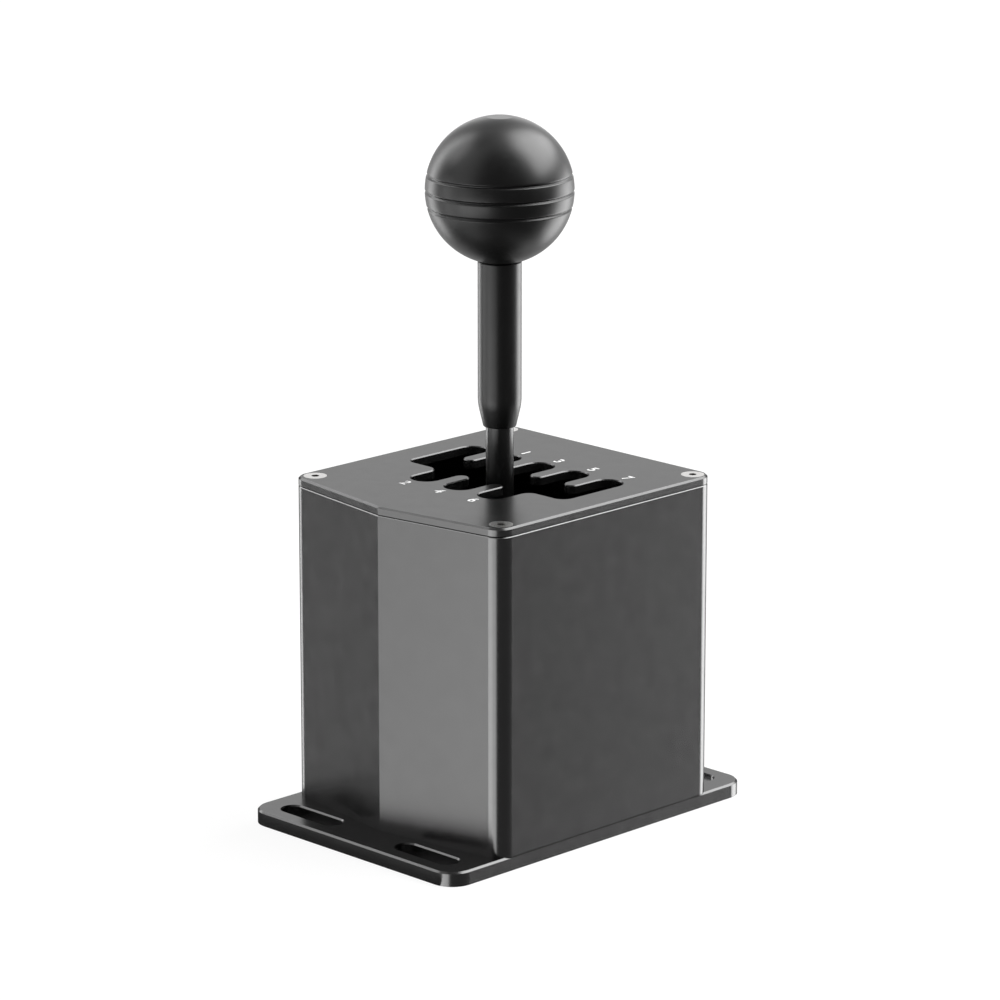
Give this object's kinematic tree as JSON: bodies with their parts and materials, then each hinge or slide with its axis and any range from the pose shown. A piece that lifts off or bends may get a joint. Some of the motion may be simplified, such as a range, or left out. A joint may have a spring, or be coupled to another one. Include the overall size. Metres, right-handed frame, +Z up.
{
  "type": "sim racing gear shifter",
  "caption": "H-pattern gear shifter: square black metal housing on a slotted flange, H gate plate on top, and a sprung lever with a ball knob.",
  "frame": {"origin": "on the upright lever's axis, at the underside of the mounting flange", "axes": "+X to the driver's right, +Y away from the driver along the flange's length, +Z up along the lever"},
  "size_m": [0.1, 0.144, 0.2424],
  "materials": {
    "black_anodised": "fine satin black anodised",
    "black_anodised_plate": "satin black anodised, bright chamfers",
    "bright_steel": "plain satin steel",
    "black_steel": "black oxide",
    "machined_aluminium": "machined, black anodised",
    "bearing_steel": "ground races, dished shields",
    "spring_steel": "drawn wire",
    "ground_steel": "ground and oiled",
    "magnet": "nickel plated",
    "circuit_board": "solder mask",
    "socket_plastic": "moulded black",
    "socket_metal": "stamped and plated",
    "black_steel_rod": "satin black",
    "black_sleeve": "satin black anodised",
    "knob_black": "matt black, soft to the touch"
  },
  "bodies": {
    "housing": {"housing": "black_anodised", "gate_plate": "black_anodised_plate", "cover_screws": "bright_steel", "base_plate": "black_anodised", "base_screws": "black_steel", "near_pedestal": "machined_aluminium", "far_pedestal": "machined_aluminium", "pedestal_screws": "black_steel", "select_bearings": "bearing_steel", "centring_springs": "spring_steel", "select_sensor_board": "circuit_board", "select_sensor_spacers": "bright_steel", "select_sensor_screws": "black_steel", "main_board": "circuit_board", "main_board_screws": "black_steel", "data_socket": "socket_plastic", "usb_socket": "socket_metal"},
    "cradle": {"cradle": "machined_aluminium", "near_axle": "ground_steel", "far_axle": "ground_steel", "select_rings": "spring_steel", "select_spacers": "ground_steel", "select_magnet": "magnet", "shift_bearings": "bearing_steel", "detent_cam": "ground_steel", "cam_screws": "black_steel", "shift_sensor_board": "circuit_board", "shift_sensor_spacers": "bright_steel", "shift_sensor_screws": "black_steel"},
    "lever": {"pivot_block": "machined_aluminium", "shift_axle": "ground_steel", "shift_rings": "spring_steel", "shift_spacers": "ground_steel", "shift_magnet": "magnet", "shift_rod": "black_steel_rod", "rod_lock_nut": "black_steel", "lever_sleeve": "black_sleeve", "knob_insert": "ground_steel", "knob": "knob_black", "plunger_barrel": "ground_steel", "barrel_lock_nut": "black_steel", "detent_spring": "spring_steel"},
    "plunger": {"detent_plunger": "ground_steel"}
  },
  "joints": [
    {"name": "select", "type": "hinge", "parent": "housing", "child": "cradle", "pos_m": [0, 0, 0.04], "axis": [0, 1, 0], "range_deg": [-11.9, 11.9], "stiffness_Nm_per_rad": 2.5, "deforming": ["centring_springs"]},
    {"name": "shift", "type": "hinge", "parent": "cradle", "child": "lever", "pos_m": [0, 0, 0.04], "axis": [-1, 0, 0], "range_deg": [-13.3, 13.3]},
    {"name": "detent_travel", "type": "slide", "parent": "lever", "child": "plunger", "axis": [0, 0, -1], "range_m": [0, 0.0012], "stiffness_N_per_m": 1000, "springref_m": 0.004, "deforming": ["detent_spring"]}
  ]
}
